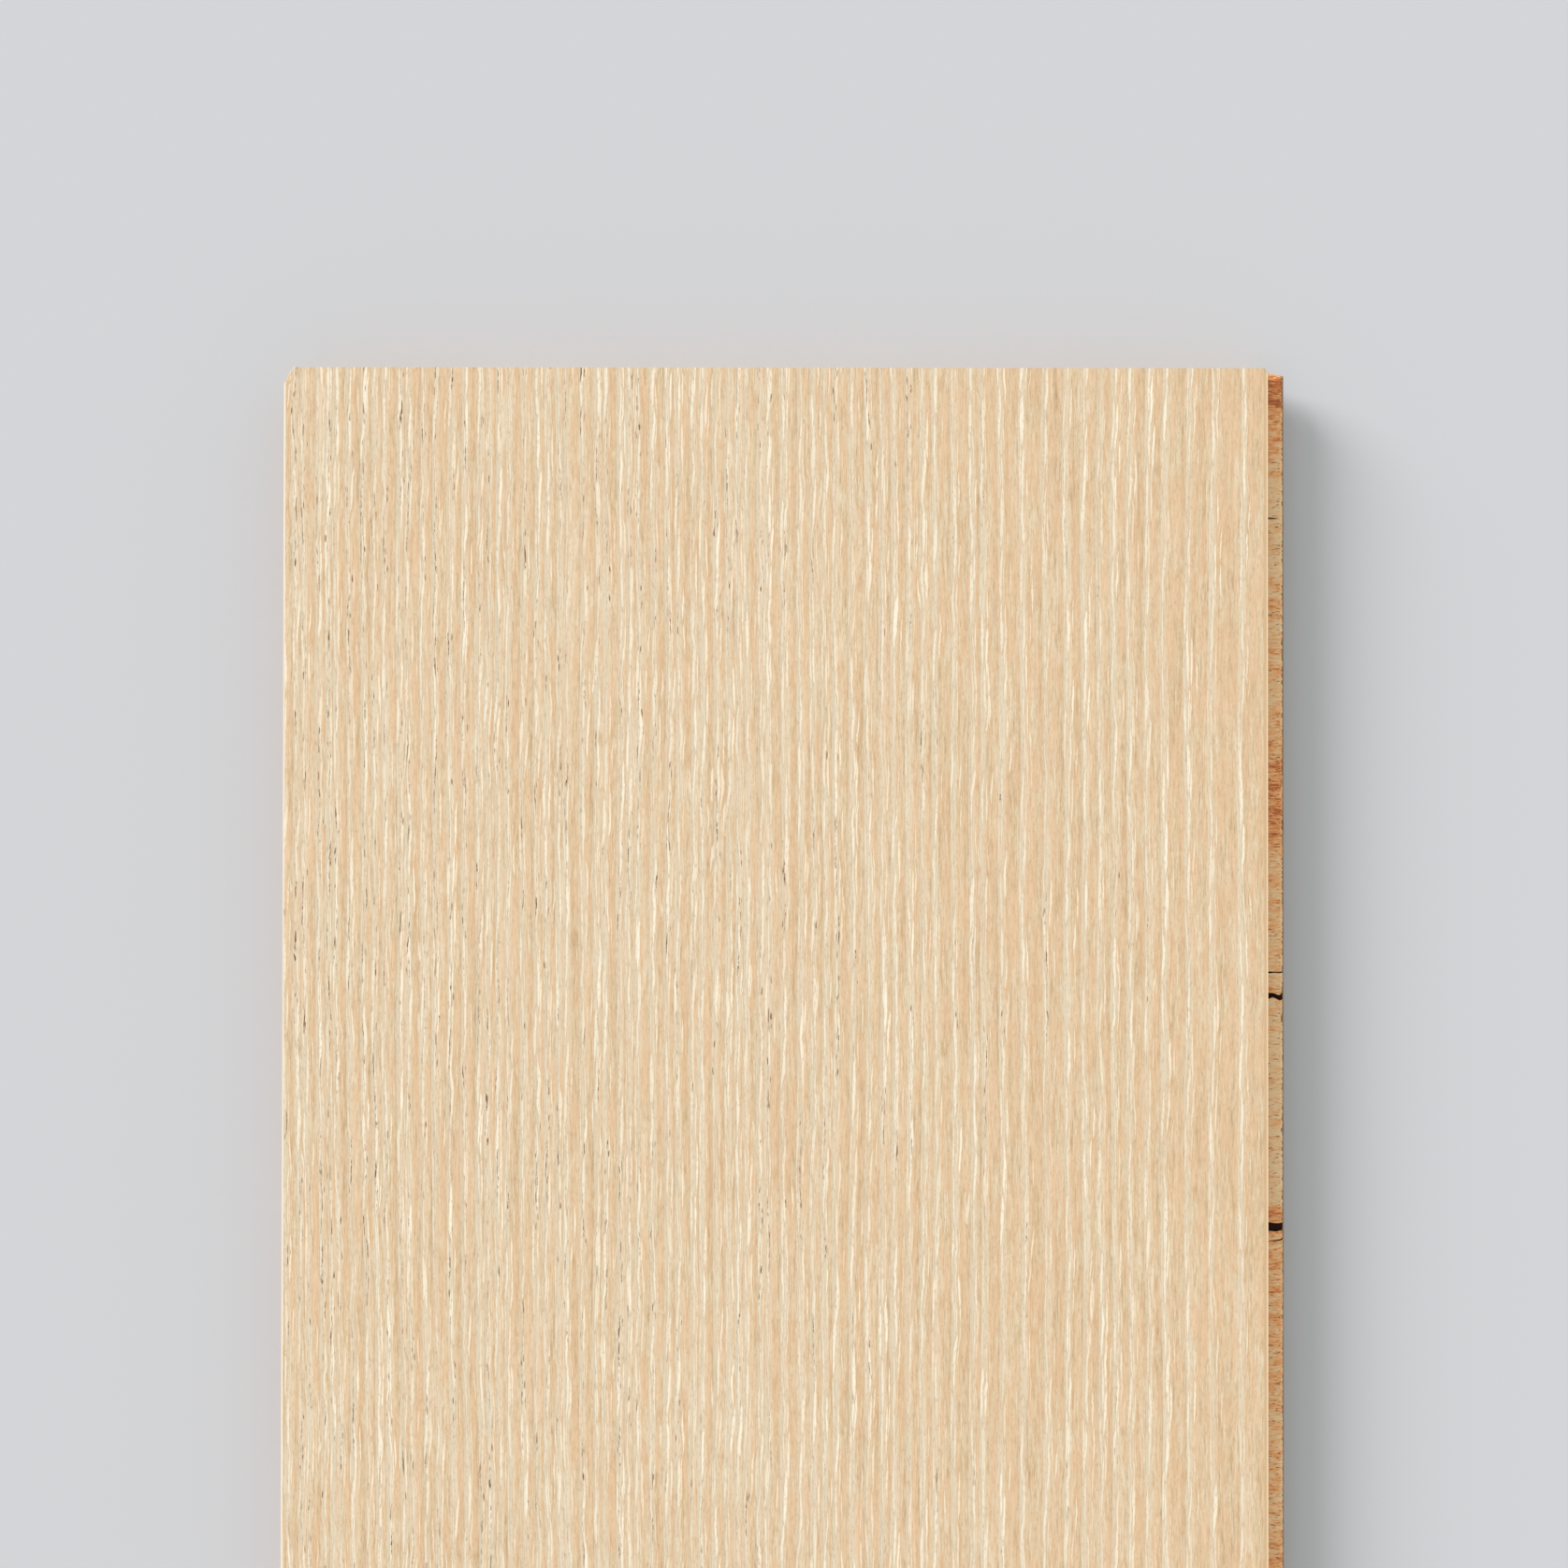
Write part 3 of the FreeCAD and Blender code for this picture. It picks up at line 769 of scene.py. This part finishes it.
def colour_long_edges(tree, across, face):
    """The fine bevels keep more lime than the face and are painted lighter still as a highlight. The one
    on the tongue side is warmer and painted brightest, against the shade it lies in, and a painted shade
    line runs beside it.
    """
    middle = MM * (GROOVE_EDGE + FACE_EDGE) / 2
    bevel_start = MM * ((FACE_EDGE - GROOVE_EDGE) / 2 - BEVEL)
    from_middle = add(tree, "ShaderNodeMath", {0: across, 1: -middle}, operation="ADD")
    out = add(tree, "ShaderNodeMath", {0: from_middle}, operation="ABSOLUTE")
    bevelled = add(
        tree, "ShaderNodeMapRange",
        {
            "Value": out, "From Min": bevel_start, "From Max": bevel_start + BEVEL_FADE * MM,
            "To Max": 0.95,
        },
    )
    tongue_side = add(tree, "ShaderNodeMath", {0: from_middle, 1: 0.0}, operation="GREATER_THAN")
    # Painted highlight on both bevels, brightest on the tongue side, which lies in shade.
    bevel = add(
        tree, "ShaderNodeMix",
        {0: tongue_side, 6: linear(GROOVE_SIDE_BEVEL), 7: linear(TONGUE_SIDE_BEVEL)},
        data_type="RGBA",
    )
    # Beside that bevel a line a little darker is painted in: painted shade, on the side away from the
    # light.
    shade_line_start = bevel_start - SHADE_LINE_WIDTH * MM
    shade_line = add(
        tree, "ShaderNodeMapRange",
        {
            "Value": from_middle, "From Min": shade_line_start,
            "From Max": shade_line_start + SHADE_LINE_FADE * MM, "To Max": 0.8,
        },
    )
    shade_lined = add(tree, "ShaderNodeMix", {0: shade_line, 6: face, 7: linear(PAINTED_SHADE_LINE)}, data_type="RGBA")
    edged = add(
        tree, "ShaderNodeMix", {0: bevelled, 6: shade_lined.outputs[2], 7: bevel.outputs[2]},
        data_type="RGBA",
    )
    return edged.outputs[2]


def make_limed_oak():
    """Brushed, limed oak under a matt oil: warm straw wood, with white lime lying in its open pores.

    The brush has taken some of the soft early wood, so the pores lie in shallow furrows, and the
    oil is too matt to shine.
    """
    material, tree, shader = new_material("limed_brushed_oak", 0.62, 0.3)
    place = add(tree, "ShaderNodeTexCoord").outputs["Object"]
    axes = add(tree, "ShaderNodeSeparateXYZ", {0: place}).outputs
    along_mm = add(tree, "ShaderNodeMath", {0: axes["Y"], 1: 1 / MM}, operation="MULTIPLY")
    number, past_start = place_in_ring(tree, place)
    limed, soaked, missed = draw_pores(tree, number, past_start, along_mm)
    lime = spread_lime(tree, number, along_mm)
    # Brushed fibres, 0.28 mm by 4 mm, and late pores, 0.3 mm by 1.1 mm.
    fine = add(tree, "ShaderNodeMapping", {"Vector": place, "Scale": marks_of((0.28, 4.0, 2.0))})
    fine = add(
        tree, "ShaderNodeTexNoise", {"Vector": fine, "Scale": 1.0, "Detail": 4.0, "Roughness": 0.7}
    )
    speck = add(tree, "ShaderNodeMapping", {"Vector": place, "Scale": marks_of((0.3, 1.1, 2.0))})
    speck = add(tree, "ShaderNodeTexNoise", {"Vector": speck, "Scale": 1.0, "Detail": 1.0})
    wood = colour_wood(tree, place, fine)
    white = colour_lime(tree, wood, past_start, lime, limed, soaked)
    dark = gather_missed_pores(tree, place, axes["X"], missed, speck)
    pored = colour_open_pores(tree, white, speck, dark)
    tree.links.new(colour_long_edges(tree, axes["X"], pored), shader.inputs["Base Color"])
    # Limed pores lie a little below the fibres, and missed ones three times as deep.
    height = add(tree, "ShaderNodeMath", {0: limed, 1: -0.5, 2: fine}, operation="MULTIPLY_ADD")
    height = add(tree, "ShaderNodeMath", {0: dark, 1: -1.5, 2: height}, operation="MULTIPLY_ADD")
    bump = add(tree, "ShaderNodeBump", {"Strength": 0.4, "Distance": 0.06 * MM, "Height": height})
    tree.links.new(bump.outputs[0], shader.inputs["Normal"])
    return material


# The raw wood


def make_sawn_oak():
    """Raw sawn oak at the layer's edges and ends: browner than the limed face, with the rings' lines."""
    material, tree, shader = new_material("raw_sawn_oak", 0.75, 0.2)
    place = add(tree, "ShaderNodeTexCoord").outputs["Object"]
    ring = add(tree, "ShaderNodeAttribute", attribute_name="growth_ring").outputs["Fac"]
    part = add(tree, "ShaderNodeMath", {0: ring}, operation="FRACT")
    rings = add(
        tree, "ShaderNodeValToRGB", {0: part},
        stops=((0.0, "#B8926A"), (0.12, "#C6A27A"), (0.4, "#DABB94"), (1.0, "#D2B088")),
    )
    fibre = add(tree, "ShaderNodeMapping", {"Vector": place, "Scale": marks_of((0.5, 20.0, 0.5))})
    fibre = add(tree, "ShaderNodeTexNoise", {"Vector": fibre, "Scale": 1.0, "Detail": 3.0})
    tint = add(tree, "ShaderNodeValToRGB", {0: fibre}, stops=((0.3, "#C9C0B4"), (0.7, "#FFFFFF")))
    wood = add(
        tree, "ShaderNodeMix", {0: 0.8, 6: rings, 7: tint}, data_type="RGBA", blend_type="MULTIPLY"
    )
    tree.links.new(wood.outputs[2], shader.inputs["Base Color"])
    bump = add(tree, "ShaderNodeBump", {"Strength": 0.4, "Distance": 0.08 * MM, "Height": fibre})
    tree.links.new(bump.outputs[0], shader.inputs["Normal"])
    return material


# Raw veneer: its palettes run from dark to pale, and its fibre's size is in millimetres across,
# along and up.
# The tongue's palette is painted lighter than the veneer's own colour: painted light that makes up for
# the shade of the oak layer above it.
BRICK_TO_TAN_PAINTED_LIGHTER = ("#C07045", "#E6935C", "#FFB777", "#FFCC95", "#FFDFB2")
END_GRAIN = ("#A2815C", "#B6956D", "#C8A983", "#D6BC98", "#E0CAAB")
TAN_TO_STRAW = ("#B99A72", "#CBAD85", "#D9BF9A", "#E4CEAD", "#ECDBC0")
CUT_VESSELS = "#7B4A22"
GLUE = "#6B4326"
# Painted shade in the splits: the shadow of a deep gap, darker than the shallow floor casts.
SHADE_IN_THE_SPLIT = "#300F07"
CROSS_FIBRE = (5.0, 0.4, 0.3)
TORN_FIBRE = (2.0, 0.4, 0.5)
LONG_FIBRE = (0.5, 12.0, 0.3)


def colour_fibres(tree, place, fibre, fibre_size, palette, contrast, tone):
    """The veneer's wood: fibres, and blotches five times as large, about its tone in the palette."""
    blotch = add(tree, "ShaderNodeMapping", {"Vector": place, "Scale": marks_of(fibre_size, 5)})
    blotch = add(tree, "ShaderNodeTexNoise", {"Vector": blotch, "Scale": 1.0, "Detail": 2.0})
    mixed = add(tree, "ShaderNodeMath", {0: fibre, 1: contrast, 2: tone}, operation="MULTIPLY_ADD")
    mixed = add(
        tree, "ShaderNodeMath", {0: blotch, 1: contrast * 0.6, 2: mixed}, operation="MULTIPLY_ADD"
    )
    # Middling noise is a half, and that much of both comes off again.
    mixed = add(tree, "ShaderNodeMath", {0: mixed, 1: contrast * 0.8}, operation="SUBTRACT")
    stops = tuple(zip((0.0, 0.2, 0.45, 0.7, 0.95), palette))
    return add(tree, "ShaderNodeValToRGB", {0: mixed}, stops=stops)


def colour_vessels(tree, place, wood, fibre_size):
    """Vessels cut open: dark pits a little smaller than the fibres."""
    pit = add(tree, "ShaderNodeMapping", {"Vector": place, "Scale": marks_of(fibre_size, 1 / 1.4)})
    pit = add(tree, "ShaderNodeTexNoise", {"Vector": pit, "Scale": 1.0, "Detail": 1.0})
    pitted = add(
        tree, "ShaderNodeMapRange",
        {"Value": pit, "From Min": 0.37, "From Max": 0.3, "To Max": 0.7},
    )
    return add(
        tree, "ShaderNodeMix", {0: pitted, 6: wood, 7: linear(CUT_VESSELS)}, data_type="RGBA"
    ).outputs[2]


def colour_glue(tree, place, wood):
    """Dark glue lines about 0.1 mm thick part the veneers."""
    axes = add(tree, "ShaderNodeSeparateXYZ", {0: place})
    plies = add(
        tree, "ShaderNodeMath", {0: axes.outputs["Z"], 1: 1 / (PLY * MM)}, operation="MULTIPLY"
    )
    to_line = add(tree, "ShaderNodeMath", {0: plies, 1: 0.5}, operation="PINGPONG")
    glue = add(
        tree, "ShaderNodeMapRange",
        {"Value": to_line, "From Min": 0.02, "From Max": 0.05, "To Min": 0.55, "To Max": 0.0},
    )
    return add(
        tree, "ShaderNodeMix", {0: glue, 6: wood, 7: linear(GLUE)}, data_type="RGBA"
    ).outputs[2]


def make_veneer(name, fibre_size, palette, contrast, toned):
    """Raw rotary-cut hardwood veneer, never sanded, with its fibres torn where a cutter crossed them.

    The contrast says how much fibres differ. A toned veneer takes its drift from the piece, and
    another one takes it from broad noise.
    """
    material, tree, shader = new_material(name, 0.8, 0.2)
    place = add(tree, "ShaderNodeTexCoord").outputs["Object"]
    fibre = add(tree, "ShaderNodeMapping", {"Vector": place, "Scale": marks_of(fibre_size)})
    fibre = add(
        tree, "ShaderNodeTexNoise",
        {"Vector": fibre, "Scale": 1.0, "Detail": 3.0, "Roughness": 0.6, "Distortion": 0.5},
    )
    if toned:
        tone = add(tree, "ShaderNodeAttribute", attribute_name="veneer_tone").outputs["Fac"]
    else:
        tone = add(tree, "ShaderNodeMapping", {"Vector": place, "Scale": marks_of(fibre_size, 25)})
        tone = add(tree, "ShaderNodeTexNoise", {"Vector": tone, "Scale": 1.0, "Detail": 2.0})
    wood = colour_fibres(tree, place, fibre, fibre_size, palette, contrast, tone)
    colour = colour_glue(tree, place, colour_vessels(tree, place, wood, fibre_size))
    if toned:
        # The splits take their painted shade.
        split = add(tree, "ShaderNodeAttribute", attribute_name="split_painted_shade").outputs["Fac"]
        colour = add(
            tree, "ShaderNodeMix", {0: split, 6: colour, 7: linear(SHADE_IN_THE_SPLIT)}, data_type="RGBA"
        ).outputs[2]
    tree.links.new(colour, shader.inputs["Base Color"])
    bump = add(tree, "ShaderNodeBump", {"Strength": 0.6, "Distance": 0.1 * MM, "Height": fibre})
    tree.links.new(bump.outputs[0], shader.inputs["Normal"])
    return material


def dress_lower_plies(cross_veneer, long_veneer):
    """Gives each veneer of the core its raw wood, with its grain across the board or along it."""
    for name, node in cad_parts.items():
        if name.startswith("core_ply"):
            node.data.materials.clear()
            node.data.materials.append(cross_veneer if name.endswith("cross") else long_veneer)


# The floor, the light and the camera

# The floor reaches this many metres each way.
FLOOR_SIZE = 12.0
FLOOR_PAINT = "#D0D2D6"

# The room lights the board evenly, and seen straight or in a reflection it is the floor's own grey.
ROOM_LIGHT = "#FBFEFB"
ROOM_STRENGTH = 0.663
ROOM_SEEN = "#D4D6D9"

# The window: its strength, colour and width, how far round from the left towards the head end it
# stands, and how far up. Angles are degrees.
WINDOW_STRENGTH = 2.835
WINDOW_COLOUR = (1.0, 0.956, 0.972)
WINDOW_WIDTH = 31
WINDOW_ROUND = 34.4
WINDOW_UP = 26.1

# The camera's eye in millimetres: across, in from the head, and half a metre above the face. Its
# lean back and its turn are degrees.
EYE_ACROSS = -0.342
EYE_FROM_HEAD = 96.846
EYE_ABOVE_FACE = 500.0
EYE_LEAN = 0.44
EYE_TURN = 0.0669
LENS = 51.463


def make_floor():
    """A matt pale grey floor, as wide as any view needs."""
    bm = bmesh.new()
    bmesh.ops.create_grid(bm, x_segments=1, y_segments=1, size=FLOOR_SIZE)
    mesh = bpy.data.meshes.new("floor")
    bm.to_mesh(mesh)
    bm.free()
    floor = bpy.data.objects.new("floor", mesh)
    bpy.context.scene.collection.objects.link(floor)
    material, tree, shader = new_material("pale_matt_paint", 0.95, 0.0)
    shader.inputs["Base Color"].default_value = linear(FLOOR_PAINT)
    mesh.materials.append(material)


def light_room():
    """An even pale room all round."""
    world = bpy.data.worlds.new("pale_room")
    bpy.context.scene.world = world
    world.use_nodes = True
    tree = world.node_tree
    room = tree.nodes["Background"]
    room.inputs["Color"].default_value = linear(ROOM_LIGHT)
    room.inputs["Strength"].default_value = ROOM_STRENGTH
    rays = add(tree, "ShaderNodeLightPath").outputs
    seen = add(
        tree, "ShaderNodeMath", {0: rays["Is Camera Ray"], 1: rays["Is Glossy Ray"]},
        operation="MAXIMUM",
    )
    seen = add(
        tree, "ShaderNodeMath", {0: seen, 1: rays["Is Transmission Ray"]}, operation="MAXIMUM"
    )
    backdrop = add(tree, "ShaderNodeBackground", {"Color": linear(ROOM_SEEN), "Strength": 1.0})
    shown = add(tree, "ShaderNodeMixShader", {0: seen, 1: room, 2: backdrop})
    tree.links.new(shown.outputs[0], tree.nodes["World Output"].inputs["Surface"])


def light_window():
    """A broad soft window of light from the upper left."""
    lamp = bpy.data.lights.new("window", "SUN")
    lamp.energy = WINDOW_STRENGTH
    lamp.angle = math.radians(WINDOW_WIDTH)
    lamp.color = WINDOW_COLOUR
    window = bpy.data.objects.new("window", lamp)
    window.rotation_euler = (0.0, math.radians(WINDOW_UP - 90), math.radians(-WINDOW_ROUND))
    bpy.context.scene.collection.objects.link(window)


def place_camera():
    """Looks down on the head end from half a metre above the face."""
    camera = bpy.data.cameras.new("camera")
    camera.lens = LENS
    camera.sensor_width = 36.0
    camera.clip_start = 0.01
    camera.clip_end = 50.0
    eye = bpy.data.objects.new("camera", camera)
    along = HALF_LENGTH - EYE_FROM_HEAD
    eye.location = (EYE_ACROSS * MM, along * MM, (FACE_LEVEL + EYE_ABOVE_FACE) * MM)
    eye.rotation_euler = (math.radians(EYE_LEAN), 0.0, math.radians(EYE_TURN))
    bpy.context.scene.collection.objects.link(eye)
    bpy.context.scene.camera = eye


limed_oak = make_limed_oak()
sawn_oak = make_sawn_oak()
cross_veneer = make_veneer("raw_cross_veneer", CROSS_FIBRE, END_GRAIN, 1.0, toned=False)
# The tongue's veneer takes the palette painted lighter against its shade.
torn_veneer = make_veneer("torn_cross_veneer", TORN_FIBRE, BRICK_TO_TAN_PAINTED_LIGHTER, 2.3, toned=True)
long_veneer = make_veneer("raw_long_veneer", LONG_FIBRE, TAN_TO_STRAW, 1.0, toned=False)

make_wear_layer([limed_oak, sawn_oak])
make_top_ply([torn_veneer, cross_veneer])
dress_lower_plies(cross_veneer, long_veneer)

make_floor()
light_room()
light_window()
place_camera()

view = bpy.context.scene.view_settings
view.view_transform = "Standard"
